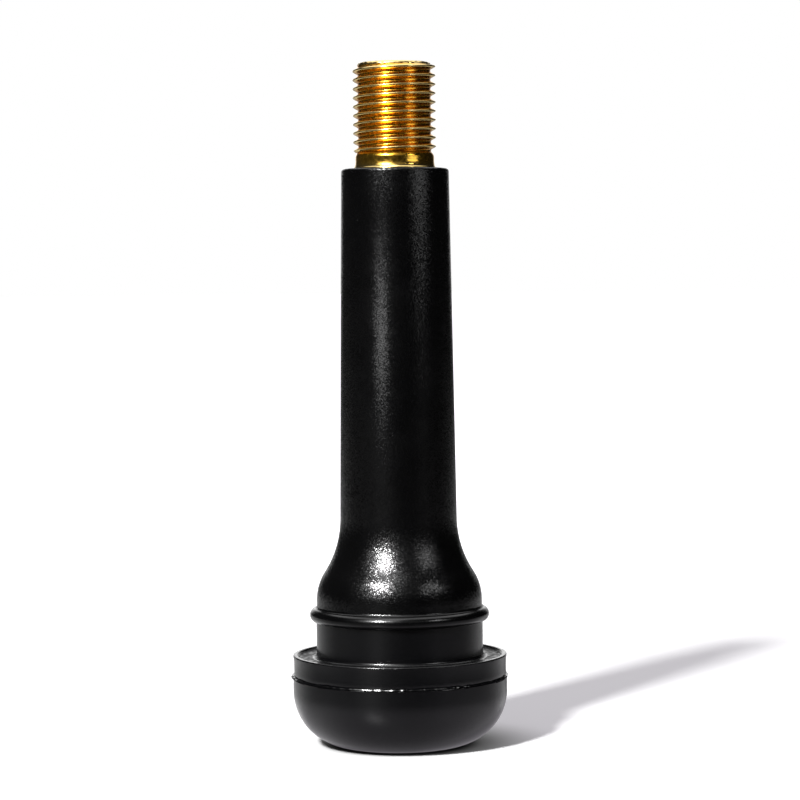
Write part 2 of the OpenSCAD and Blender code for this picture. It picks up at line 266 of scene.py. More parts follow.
class Graph:
    """A node tree with short calls that add nodes and join them."""

    def __init__(self, tree: bpy.types.NodeTree) -> None:
        """Keeps the tree that the nodes go into."""
        self.tree = tree

    def put(self, target: bpy.types.NodeSocket, value: Optional[Value]) -> None:
        """Joins a socket to an input, or sets the input to a plain value."""
        if isinstance(value, bpy.types.NodeSocket):
            self.tree.links.new(value, target)
        elif value is not None:
            target.default_value = value

    def node(self, kind: str, inputs: Optional[dict[Union[str, int], Value]] = None,
             **settings: object) -> bpy.types.Node:
        """Adds a node.

        Args:
            kind: The node's type, without the leading words ShaderNode.
            inputs: Values or sockets for its inputs, by name or number.
            settings: Properties of the node.

        Returns:
            The new node.
        """
        made = self.tree.nodes.new("ShaderNode" + kind)
        for key, value in settings.items():
            setattr(made, key, value)
        for key, value in (inputs or {}).items():
            self.put(made.inputs[key], value)
        return made

    def math(self, operation: str, a: Value, b: Optional[Value] = None) -> bpy.types.NodeSocket:
        """Joins two values by an operation of the Math node.

        Args:
            operation: The operation's name.
            a: First value or socket.
            b: Second value or socket, where the operation has one.

        Returns:
            The result's socket.
        """
        return self.node("Math", {0: a, 1: b}, operation=operation).outputs[0]

    def vector(self, operation: str, a: Value, b: Optional[Value] = None) -> bpy.types.NodeSocket:
        """Joins two vectors by an operation of the Vector Math node.

        Args:
            operation: The operation's name.
            a: First vector or socket.
            b: Second vector or socket, or the factor of SCALE.

        Returns:
            The result's socket.
        """
        second = "Scale" if operation == "SCALE" else 1
        made = self.node("VectorMath", {0: a, second: b}, operation=operation)
        return made.outputs["Value" if operation in ("LENGTH", "DOT_PRODUCT") else "Vector"]

    def group(self, tree: bpy.types.NodeTree, **inputs: Value) -> bpy.types.Node:
        """Adds a shared node group.

        Args:
            tree: The group.
            inputs: Values or sockets for its inputs, by name.

        Returns:
            The new node.
        """
        return self.node("Group", inputs, node_tree=tree)

    def bump(self, height: Value, depth: float, normal: Optional[Value] = None) -> bpy.types.NodeSocket:
        """Leans the normal by a pattern of heights.

        Args:
            height: The pattern's socket.
            depth: Its depth in millimetres.
            normal: Socket of a normal that is leant already.

        Returns:
            The normal's socket.
        """
        made = self.node("Bump", {"Height": height, "Strength": 1.0, "Distance": depth * MM,
                                  "Normal": normal})
        return made.outputs[0]

    def ease(self, value: Value, low: Value, high: Value, at_low: Value = 0.0,
             at_high: Value = 1.0) -> bpy.types.NodeSocket:
        """Maps a value smoothly from one range to another.

        Args:
            value: The value's socket.
            low: Start of the range it comes from.
            high: End of that range.
            at_low: Result at the start.
            at_high: Result at the end.

        Returns:
            The result's socket.
        """
        made = self.node("MapRange", {"Value": value, "From Min": low, "From Max": high,
                                      "To Min": at_low, "To Max": at_high},
                         interpolation_type="SMOOTHSTEP")
        return made.outputs[0]

    def blend(self, share: Value, a: Value, b: Value) -> bpy.types.NodeSocket:
        """Mixes two colours.

        Args:
            share: Share of the second colour.
            a: First colour.
            b: Second colour.

        Returns:
            The mixed colour's socket.
        """
        return self.node("Mix", {0: share, 6: a, 7: b}, data_type="RGBA").outputs[2]

    def mix(self, share: Value, a: Value, b: Value) -> bpy.types.NodeSocket:
        """Mixes two numbers.

        Args:
            share: Share of the second number.
            a: First number.
            b: Second number.

        Returns:
            The mixed number's socket.
        """
        return self.node("Mix", {0: share, 2: a, 3: b}).outputs[0]

    def grey(self, tone: Value) -> bpy.types.NodeSocket:
        """Makes a grey of one brightness."""
        return self.node("CombineColor", {0: tone, 1: tone, 2: tone}).outputs[0]

    def millimetres(self) -> bpy.types.NodeSocket:
        """Gives the object's own coordinates in millimetres."""
        return self.vector("SCALE", self.node("TexCoord").outputs["Object"], 1.0 / MM)

    def noise(self, point: Value, scale: Value, detail: float = 2.0,
              rough: float = 0.5) -> bpy.types.NodeSocket:
        """Adds a noise pattern.

        Args:
            point: Where the pattern is read.
            scale: Cells per unit.
            detail: Octaves.
            rough: Share that each octave keeps.

        Returns:
            The socket of the pattern's value.
        """
        made = self.node("TexNoise", {"Vector": point, "Scale": scale, "Detail": detail,
                                      "Roughness": rough})
        return made.outputs[0]


class Effects:
    """Shader node groups that several finishes share, each built once."""

    def __init__(self) -> None:
        """Builds every group."""
        self.facets = self._facets()
        self.grain = self._grain()
        self.dust = self._dust()
        self.marks = self._marks()
        self.depth = self._depth()

    @staticmethod
    def _group(name: str, inputs: dict[str, float], outputs: list[str],
               kind: str = "NodeSocketFloat") -> tuple[Graph, bpy.types.Node, bpy.types.Node]:
        """Starts a group that takes a point and some values.

        Args:
            name: Name of the group.
            inputs: Its values and their defaults.
            outputs: Its values that go out.
            kind: Socket type of those values.

        Returns:
            The group's graph, its input node and its output node.
        """
        tree = bpy.data.node_groups.new(name, "ShaderNodeTree")
        tree.interface.new_socket(name="Point", in_out="INPUT", socket_type="NodeSocketVector")
        for key, default in inputs.items():
            made = tree.interface.new_socket(name=key, in_out="INPUT", socket_type="NodeSocketFloat")
            made.default_value = default
        for key in outputs:
            tree.interface.new_socket(name=key, in_out="OUTPUT", socket_type=kind)
        return Graph(tree), tree.nodes.new("NodeGroupInput"), tree.nodes.new("NodeGroupOutput")

    def _facets(self) -> bpy.types.NodeTree:
        """Builds the tiny tilted facets of a grained mould, as a vector that leans a normal over."""
        graph, given, result = self._group("mould_facets", {"Cells": 8.0}, ["Tilt"], "NodeSocketVector")
        point, lean = given.outputs["Point"], (-1.0, -1.0, -1.0)
        for shift in ((0.0, 0.0, 0.0), (5.3, 2.9, 7.1)):
            cells = graph.node("TexVoronoi", {"Vector": graph.vector("ADD", point, shift),
                                              "Scale": given.outputs["Cells"]})
            lean = graph.vector("ADD", cells.outputs["Color"], lean)
        graph.put(result.inputs["Tilt"], lean)
        return graph.tree

    def _grain(self) -> bpy.types.NodeTree:
        """Builds the fine grain of a moulded surface, with a slow change across it."""
        graph, given, result = self._group("surface_grain", {"Cells": 9.0, "Cloud": 0.4}, ["Height", "Cloud"])
        point = given.outputs["Point"]
        graph.put(result.inputs["Height"], graph.noise(point, given.outputs["Cells"], 1.0, 0.5))
        graph.put(result.inputs["Cloud"], graph.noise(point, given.outputs["Cloud"], 4.0, 0.6))
        return graph.tree

    def _dust(self) -> bpy.types.NodeTree:
        """Builds stray specks of dust."""
        graph, given, result = self._group("stray_dust", {"Density": 0.9, "Size": 0.05, "Share": 0.12},
                                           ["Mask"])
        point, density = given.outputs["Point"], given.outputs["Density"]
        wander = graph.node("TexNoise", {"Vector": point, "Scale": 6.0}).outputs[1]
        bent = graph.vector("MULTIPLY", wander, (0.12, 0.12, 0.12))
        cells = graph.node("TexVoronoi", {"Vector": graph.vector("ADD", point, bent), "Scale": density})
        pick = graph.node("SeparateColor", {0: cells.outputs["Color"]}).outputs[0]
        reach = graph.math("MULTIPLY", given.outputs["Size"], density)
        near = graph.math("LESS_THAN", cells.outputs["Distance"], reach)
        chosen = graph.math("LESS_THAN", pick, given.outputs["Share"])
        graph.put(result.inputs["Mask"], graph.math("MULTIPLY", near, chosen))
        return graph.tree

    def _marks(self) -> bpy.types.NodeTree:
        """Builds the fine rings that a lathe tool leaves, and pits between them."""
        graph, given, result = self._group("lathe_marks", {"Lines": 14.0, "Pits": 3.0}, ["Rings", "Pits"])
        point = given.outputs["Point"]
        stretch = graph.node("CombineXYZ", {0: 0.12, 1: 0.12, 2: given.outputs["Lines"]}).outputs[0]
        flat = graph.vector("MULTIPLY", point, stretch)
        graph.put(result.inputs["Rings"], graph.noise(flat, 1.0, 2.0, 0.5))
        graph.put(result.inputs["Pits"], graph.noise(point, given.outputs["Pits"], 3.0, 0.65))
        return graph.tree

    def _depth(self) -> bpy.types.NodeTree:
        """Builds a mask that grows from an outer radius in to a hollow."""
        graph, given, result = self._group("hollow_depth", {"Outer": 3.8, "Inner": 3.35}, ["Mask"])
        r = graph.vector("LENGTH", graph.vector("MULTIPLY", given.outputs["Point"], (1.0, 1.0, 0.0)))
        graph.put(result.inputs["Mask"], graph.ease(r, given.outputs["Outer"], given.outputs["Inner"]))
        return graph.tree


def start_material(name: str) -> tuple[bpy.types.Material, Graph, bpy.types.Node]:
    """Starts a material that holds a Principled shader.

    Args:
        name: Name of the material.

    Returns:
        The material, its graph and its shader node.
    """
    material = bpy.data.materials.new(name)
    material.use_nodes = True
    return material, Graph(material.node_tree), material.node_tree.nodes["Principled BSDF"]


@dataclass(frozen=True)
class RubberFinish:
    """Black moulded rubber: grained on the tube, smooth from the bead down and scuffed in the dish."""

    colour: tuple = (0.0005, 0.0005, 0.0006, 1.0)
    foot_colour: tuple = (0.0012, 0.0012, 0.0016, 1.0)
    mottle: tuple = (0.001, 0.001, 0.0011, 1.0)
    mottle_ease: Ease = (0.35, 0.7, 0.0, 0.35)
    dust_colour: tuple = (0.03, 0.03, 0.03, 1.0)
    gloss: float = 0.2
    foot_gloss: float = 0.22
    gloss_ease: Ease = (0.3, 0.7, -0.015, 0.02)
    foot_z: float = 10.9
    foot_run: float = 0.25
    grain_cells: float = 2.4
    cloud_cells: float = 0.35
    facet_cells: float = 15.0
    facet_tilt: float = 0.155
    foot_tilt: float = 0.03
    grain_z: float = 12.6
    grain_run: float = 0.15
    dish_z: float = 8.1
    dish_run: float = 0.05
    dish_depth: float = 1.2
    dish_rim_r: float = 9.28
    dish_neck_r: float = 7.92
    dish_edge: float = 0.08
    scuff_ease: Ease = (0.35, 0.65, 0.3, 0.62)

    def make(self, effects: Effects) -> bpy.types.Material:
        """Builds the material.

        Args:
            effects: The shared node groups.

        Returns:
            The material.
        """
        material, graph, shader = start_material("moulded_rubber")
        point = graph.millimetres()
        height = graph.node("SeparateXYZ", {0: point}).outputs["Z"]
        foot = graph.ease(height, self.foot_z + self.foot_run, self.foot_z - self.foot_run)
        grain = graph.group(effects.grain, Point=point, Cells=self.grain_cells, Cloud=self.cloud_cells)
        facets = graph.group(effects.facets, Point=point, Cells=self.facet_cells)
        dust = graph.group(effects.dust, Point=point).outputs["Mask"]
        cloud = grain.outputs["Cloud"]
        plain = graph.blend(foot, self.colour, self.foot_colour)
        mottled = graph.blend(graph.ease(cloud, *self.mottle_ease), plain, self.mottle)
        graph.put(shader.inputs["Base Color"], graph.blend(dust, mottled, self.dust_colour))
        gloss = graph.mix(foot, self.gloss, self.foot_gloss)
        rough = graph.math("ADD", gloss, graph.ease(cloud, *self.gloss_ease))
        scuffed = graph.ease(grain.outputs["Height"], *self.scuff_ease)
        rough = graph.mix(self._dish(graph, effects, point, height), rough, scuffed)
        graph.put(shader.inputs["Roughness"], graph.math("MAXIMUM", rough, dust))
        smooth = graph.ease(height, self.grain_z + self.grain_run, self.grain_z - self.grain_run)
        share = graph.mix(smooth, self.facet_tilt, self.foot_tilt)
        lean = graph.vector("SCALE", facets.outputs["Tilt"], share)
        tilted = graph.vector("ADD", graph.node("NewGeometry").outputs["Normal"], lean)
        graph.put(shader.inputs["Normal"], graph.vector("NORMALIZE", tilted))
        return material

    def _dish(self, graph: Graph, effects: Effects, point: Value, height: Value) -> bpy.types.NodeSocket:
        """Masks the dish between the lip and the neck.

        Args:
            graph: The material's graph.
            effects: The shared node groups.
            point: Socket of the place in millimetres.
            height: Socket of its height.

        Returns:
            The mask's socket.
        """
        foot = self.dish_z - self.dish_depth
        below = graph.ease(height, self.dish_z + self.dish_run, self.dish_z - self.dish_run)
        dish = graph.math("MULTIPLY", below, graph.ease(height, foot, foot + 2 * self.dish_run))
        for limit, inward in ((self.dish_rim_r, self.dish_edge), (self.dish_neck_r, -self.dish_edge)):
            ring = graph.group(effects.depth, Point=point, Outer=limit + inward, Inner=limit - inward)
            dish = graph.math("MULTIPLY", dish, ring.outputs["Mask"])
        return dish


@dataclass(frozen=True)
class BrassFinish:
    """Turned brass: lathe marks, pits, brown film in the hollows, and pale crests and tip, partly worn,
    partly painted highlight.
    """

    name: str
    colour: tuple = (0.97, 0.56, 0.055, 1.0)
    wear_and_highlight: tuple = (1.0, 0.75, 0.3, 1.0)
    wear_and_highlight_r: float = 3.7
    wear_and_highlight_run: float = 0.2
    wear_and_highlight_z: float = 61.2
    wear_and_highlight_rise: float = 0.08
    worn_polish: float = 0.03
    film: tuple = (0.8, 0.32, 0.025, 1.0)
    outer_r: float = 3.66
    inner_r: float = 3.26
    film_share: float = 0.85
    film_dull: float = 0.1
    patch_ease: Ease = (0.3, 0.7, 0.5, 1.0)
    rough: float = 0.17
    pit_range: Ease = (0.35, 0.75)
    pit_polish: float = 0.03
    pit_dull: float = 0.08
    ring_depth: float = 0.003
    pit_depth: float = 0.003

    def make(self, effects: Effects) -> bpy.types.Material:
        """Builds the material.

        Args:
            effects: The shared node groups.

        Returns:
            The material.
        """
        material, graph, shader = start_material(self.name)
        point = graph.millimetres()
        height = graph.node("SeparateXYZ", {0: point}).outputs["Z"]
        marks = graph.group(effects.marks, Point=point).outputs
        depth = graph.group(effects.depth, Point=point, Outer=self.outer_r, Inner=self.inner_r)
        # Pale outer edges and tip: partly wear, partly a painted highlight where the edges mirror the light
        edge = graph.group(effects.depth, Point=point, Outer=self.wear_and_highlight_r - self.wear_and_highlight_run, Inner=self.wear_and_highlight_r)
        tip = graph.ease(height, self.wear_and_highlight_z, self.wear_and_highlight_z + self.wear_and_highlight_rise)
        wear_and_highlight = graph.math("MAXIMUM", edge.outputs["Mask"], tip)
        patchy = graph.ease(marks["Pits"], *self.patch_ease)
        film = graph.math("MULTIPLY", depth.outputs["Mask"], patchy)
        film = graph.math("MULTIPLY", film, self.film_share)
        film = graph.math("MULTIPLY", film, graph.math("SUBTRACT", 1.0, wear_and_highlight))
        plain = graph.blend(film, self.colour, self.film)
        graph.put(shader.inputs["Base Color"], graph.blend(wear_and_highlight, plain, self.wear_and_highlight))
        shader.inputs["Metallic"].default_value = 1.0
        dull = graph.ease(marks["Pits"], *self.pit_range, self.rough - self.pit_polish,
                          self.rough + self.pit_dull)
        dull = graph.math("ADD", dull, graph.math("MULTIPLY", film, self.film_dull))
        bright = graph.math("MULTIPLY", wear_and_highlight, self.worn_polish)
        graph.put(shader.inputs["Roughness"], graph.math("SUBTRACT", dull, bright))
        rings = graph.bump(marks["Rings"], self.ring_depth)
        graph.put(shader.inputs["Normal"], graph.bump(marks["Pits"], self.pit_depth, rings))
        return material


@dataclass(frozen=True)
class SealFinish:
    """Dull red rubber of the small seals."""

    colour: tuple = (0.30, 0.045, 0.03, 1.0)
    pale: tuple = (0.38, 0.09, 0.065, 1.0)
    pale_range: Ease = (0.35, 0.7)
    rough_ease: Ease = (0.3, 0.7, 0.5, 0.66)
    grain_cells: float = 14.0
    cloud_cells: float = 1.6
    grain_depth: float = 0.02

    def make(self, effects: Effects) -> bpy.types.Material:
        """Builds the material.

        Args:
            effects: The shared node groups.

        Returns:
            The material.
        """
        material, graph, shader = start_material("seal_rubber")
        point = graph.millimetres()
        grain = graph.group(effects.grain, Point=point, Cells=self.grain_cells,
                            Cloud=self.cloud_cells).outputs
        share = graph.ease(grain["Cloud"], *self.pale_range)
        graph.put(shader.inputs["Base Color"], graph.blend(share, self.colour, self.pale))
        graph.put(shader.inputs["Roughness"], graph.ease(grain["Cloud"], *self.rough_ease))
        graph.put(shader.inputs["Normal"], graph.bump(grain["Height"], self.grain_depth))
        return material


@dataclass(frozen=True)
class WireFinish:
    """Bright drawn steel wire."""

    colour: tuple = (0.58, 0.59, 0.61, 1.0)
    dull: tuple = (0.40, 0.40, 0.41, 1.0)
    dull_range: Ease = (0.4, 0.75)
    rough_ease: Ease = (0.3, 0.7, 0.2, 0.32)
    lines: float = 24.0
    pits: float = 5.0
    ring_depth: float = 0.002

    def make(self, effects: Effects) -> bpy.types.Material:
        """Builds the material.

        Args:
            effects: The shared node groups.

        Returns:
            The material.
        """
        material, graph, shader = start_material("spring_wire")
        marks = graph.group(effects.marks, Point=graph.millimetres(), Lines=self.lines,
                            Pits=self.pits).outputs
        share = graph.ease(marks["Pits"], *self.dull_range)
        graph.put(shader.inputs["Base Color"], graph.blend(share, self.colour, self.dull))
        shader.inputs["Metallic"].default_value = 1.0
        graph.put(shader.inputs["Roughness"], graph.ease(marks["Rings"], *self.rough_ease))
        graph.put(shader.inputs["Normal"], graph.bump(marks["Rings"], self.ring_depth))
        return material


class Finishes:
    """Every material of the valve, made once."""

    def __init__(self) -> None:
        """Makes the materials."""
        effects = Effects()
        self.by_slot: dict[Slot, bpy.types.Material] = {
            Slot.BODY_RUBBER: RubberFinish().make(effects),
            Slot.STEM_BRASS: BrassFinish("stem_brass").make(effects),
            Slot.CORE_BRASS: BrassFinish("core_brass", colour=(0.80, 0.56, 0.22, 1.0), wear_and_highlight_r=2.62,
                                         outer_r=2.6, inner_r=2.2, film_share=0.5,
                                         rough=0.24).make(effects),
            Slot.SEAL: SealFinish().make(effects),
            Slot.SPRING_STEEL: WireFinish().make(effects),
        }


@dataclass(frozen=True)
class Place:
    """Where a finished mesh belongs: its CAD node, the body it rides on and its finish."""

    node: str
    body: Body
    slot: Slot


def set_piece(name: str, bm: bmesh.types.BMesh, place: Place, finishes: Finishes) -> bpy.types.Object:
    """Scales a mesh to metres, dresses it and gives it its place in the frame.

    Args:
        name: Name of the piece.
        bm: Its mesh in millimetres, which is used up.
        place: The node it stands for, its body and its slot.
        finishes: The valve's materials.

    Returns:
        The finished object.
    """
    bmesh.ops.scale(bm, vec=(MM, MM, MM), verts=bm.verts)
    mesh = bpy.data.meshes.new(name)
    bm.to_mesh(mesh)
    bm.free()
    mesh.shade_smooth()
    mesh.set_sharp_from_angle(angle=SHARP_ANGLE)
    mesh.materials.append(finishes.by_slot[place.slot])
    piece = add_object(name, mesh)
    normals = piece.modifiers.new("even_normals", "WEIGHTED_NORMAL")
    normals.keep_sharp = True
    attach(piece, place.body.value)
    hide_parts(place.node)
    return piece


@dataclass
class RubberBody:
    """The moulded rubber body, from the rounded foot to the top of the tube."""

    foot_d: float = 19.35
    sole_d: float = 9.45
    seam_z: float = 6.25
    seam_run: float = 0.2
    flash_profile: tuple = ((0.0, -0.12), (-0.06, -0.07), (0.02, -0.04), (0.1, -0.02), (0.06, 0.07))
    flash_depth: float = 0.15
    flash_half: float = 0.11
    flash_tip: tuple = (-0.02, 0.1)
    fin_side: tuple = (-0.8, -1.0)
    band_d: float = 19.2
    band_profile: tuple = ((-0.03, 0.1), (0.02, 0.2), (0.0, 0.46))
    band_top: float = 0.55
    lip_z: float = 8.25
    lip_edge_r: float = 0.12
    lip_flare: float = 0.07
    lip_w: float = 0.35
    lip_inner_r: float = 0.1
    lip_nick_depth: float = 0.2
    dish_z: float = 7.99
    dish_step: float = 0.22
    neck_d: float = 15.05
    neck_fillet_r: float = 0.4
    bead_z: float = 11.85
    bead_d: float = 16.2
    bead_section_r: float = 0.63
    bead_fillet_r: float = 0.25
    bulb_d: float = 14.95
    bulb_side: float = 0.45
    convex_r: float = 4.8
    concave_r: float = 9.0
    tube_d: float = 10.55
    tube_top_d: float = 9.7
    tube_edge_r: float = 0.3
    length: float = 52.0
    air_hole_d: float = 4.6
    air_mouth_d: float = 6.4
    air_mouth_depth: float = 1.0
    bond_gap: float = 0.01
    around: int = 432
    slow_wave: tuple = (0.6, (3.1, 0.7, 5.0))
    slow_out: float = 0.06
    slow_up: float = 0.05
    quick_wave: tuple = (2.3, (7.7, 1.9, 2.0))
    quick_out: float = 0.07
    quick_up: float = 0.04
    torn_wave: tuple = (1.5, (1.3, 8.2, 9.0))
    torn_from: float = 0.1
    torn_in: float = 0.2
    torn_down: float = 0.05
    fin_out: float = 0.09
    lip_wave: tuple = (1.9, (2.2, 6.1, 4.0))
    lip_out: float = 0.012
    lip_lift: float = 0.5
    nick_wave: tuple = (3.4, (9.4, 0.3, 1.0))
    nick_from: float = 0.25
    nick_in: float = 0.07

    def build(self, stem: "BrassStem", finishes: Finishes) -> list[bpy.types.Object]:
        """Turns the body's section and roughens the flash along the parting line.

        Args:
            stem: The stem that the rubber is moulded round.
            finishes: The valve's materials.

        Returns:
            The finished piece.
        """
        pen = SectionPen(self.air_mouth_d / 2, 0.0)
        self._draw_foot(pen)
        self._draw_neck(pen)
        self._draw_tube(pen)
        self._draw_cavity(pen, stem)
        bm = pen.close().turn(self.around)
        self._tear_flash(bm)
        self._nick_lip(bm)
        return [set_piece("rubber_moulding", bm, Place("rubber_body", Body.STEM, Slot.BODY_RUBBER), finishes)]

    def _draw_foot(self, pen: SectionPen) -> None:
        """Draws the sole, the rounded foot, the torn parting line, the band and the lip."""
        foot_r, band_r, sole_r = self.foot_d / 2, self.band_d / 2, self.sole_d / 2
        pen.line(sole_r, 0.0).arc(sole_r, foot_r - sole_r, 90.0, steps=26)
        pen.line(foot_r, self.seam_z - self.seam_run, cuts=1)
        for side_r, profile in ((foot_r, self.flash_profile), (band_r, self.band_profile)):
            for out, up in profile:
                pen.line(side_r + out, self.seam_z + up)
        pen.line(band_r, self.lip_z - self.band_top, cuts=1)
        edge_r = band_r + self.lip_flare
        pen.line(edge_r, self.lip_z - self.lip_edge_r, soft=0.05)
        pen.arc(edge_r - self.lip_edge_r, self.lip_z - self.lip_edge_r, 90.0, steps=5)
        inner_r = band_r - self.lip_w + self.lip_inner_r
        pen.line(inner_r, self.lip_z).arc(inner_r, self.lip_z - self.lip_inner_r, 60.0, steps=4)

    def _draw_neck(self, pen: SectionPen) -> None:
        """Draws the dish, the rim groove and the retaining bead."""
        neck_r, fillet = self.neck_d / 2, self.neck_fillet_r
        pen.line(self.band_d / 2 - self.lip_w - self.dish_step, self.dish_z, soft=0.08)
        pen.line(neck_r + fillet, self.dish_z, cuts=2)
        pen.arc(neck_r + fillet, self.dish_z + fillet, -90.0, steps=8)
        middle_r = self.bead_d / 2 - self.bead_section_r
        under = math.degrees(math.acos((neck_r - middle_r) / self.bead_section_r))
        reach = self.bulb_d / 2 + self.bead_fillet_r - middle_r
        up = math.sqrt((self.bead_section_r + self.bead_fillet_r) ** 2 - reach ** 2)
        over = math.degrees(math.atan2(up, reach))
        pen.line(neck_r, self.bead_z - self.bead_section_r * math.sin(math.radians(under)), cuts=3)
        pen.arc(middle_r, self.bead_z, under + over, steps=22)
        pen.arc(middle_r + reach, self.bead_z + up, -over, steps=9)
        pen.line(self.bulb_d / 2, self.bead_z + up + self.bulb_side)

    def _draw_tube(self, pen: SectionPen) -> None:
        """Draws the shoulder, the tapered tube and its rounded top."""
        both = self.convex_r + self.concave_r
        turn = math.degrees(math.acos(1.0 - (self.bulb_d - self.tube_d) / 2 / both))
        low = pen.last.co.z
        pen.arc(self.bulb_d / 2 - self.convex_r, low, turn, steps=20)
        pen.arc(self.tube_d / 2 + self.concave_r, low + both * math.sin(math.radians(turn)), -turn, steps=26)
        edge_z = self.length - self.tube_edge_r
        pen.line(self.tube_top_d / 2, edge_z, cuts=9)
        pen.arc(self.tube_top_d / 2 - self.tube_edge_r, edge_z, 90.0, steps=6)

    def _draw_cavity(self, pen: SectionPen, stem: "BrassStem") -> None:
        """Draws the cavity that the stem is bonded in, and the air hole below it."""
        gap = self.bond_gap
        insert_r, foot_r, hole_r = stem.insert_d / 2 + gap, stem.foot_d / 2 + gap, self.air_hole_d / 2
        groove_r = stem.insert_d / 2 - stem.key_depth + gap
        flange_top = stem.foot_z + stem.foot_t + gap
        pen.line(stem.collar_d / 2 + gap, self.length).line(stem.collar_d / 2 + gap, stem.collar_foot)
        pen.line(insert_r, stem.collar_foot - (stem.collar_d - stem.insert_d) / 2)
        for low, high in reversed(stem.key_grooves()):
            pen.line(insert_r, high - gap).line(groove_r, high - gap)
            pen.line(groove_r, low + gap).line(insert_r, low + gap)
        pen.line(insert_r, flange_top).line(foot_r, flange_top)
        pen.line(foot_r, stem.foot_z - gap).line(hole_r, stem.foot_z - gap, soft=0.2)
        pen.line(hole_r, self.air_mouth_depth, soft=0.3)

    def _tear_flash(self, bm: bmesh.types.BMesh) -> None:
        """Makes the flash ragged, with torn nicks along the parting line and a longer fin on the left."""
        foot_r = self.foot_d / 2
        for vert in bm.verts:
            r = math.hypot(vert.co.x, vert.co.y)
            if r < foot_r - self.flash_depth or abs(vert.co.z - self.seam_z) > self.flash_half:
                continue
            around = Vector((vert.co.x, vert.co.y, 0.0)).normalized()
            point = around * self.foot_d / 2
            slow, quick = waver(point, *self.slow_wave), waver(point, *self.quick_wave)
            torn = max(0.0, waver(point, *self.torn_wave) - self.torn_from)
            tip = smooth_step(r, *(foot_r + out for out in self.flash_tip))
            left = smooth_step(around.x, *self.fin_side)
            ragged = self.slow_out * slow + self.quick_out * quick - self.torn_in * torn
            push_out(vert, (ragged + self.fin_out * left) * tip)
            vert.co.z += self.slow_up * slow + (self.quick_up * quick - self.torn_down * torn) * tip

    def _nick_lip(self, bm: bmesh.types.BMesh) -> None:
        """Wears small nicks into the lip's edge."""
        for vert in bm.verts:
            r = math.hypot(vert.co.x, vert.co.y)
            if r < self.band_d / 2 - self.lip_nick_depth or vert.co.z < self.lip_z - self.lip_edge_r - TOUCH:
                continue
            point = Vector((vert.co.x, vert.co.y, 0.0))
            nick = max(0.0, waver(point, *self.nick_wave) - self.nick_from)
            push = self.lip_out * waver(point, *self.lip_wave) - self.nick_in * nick
            push_out(vert, push)
            vert.co.z += self.lip_lift * push


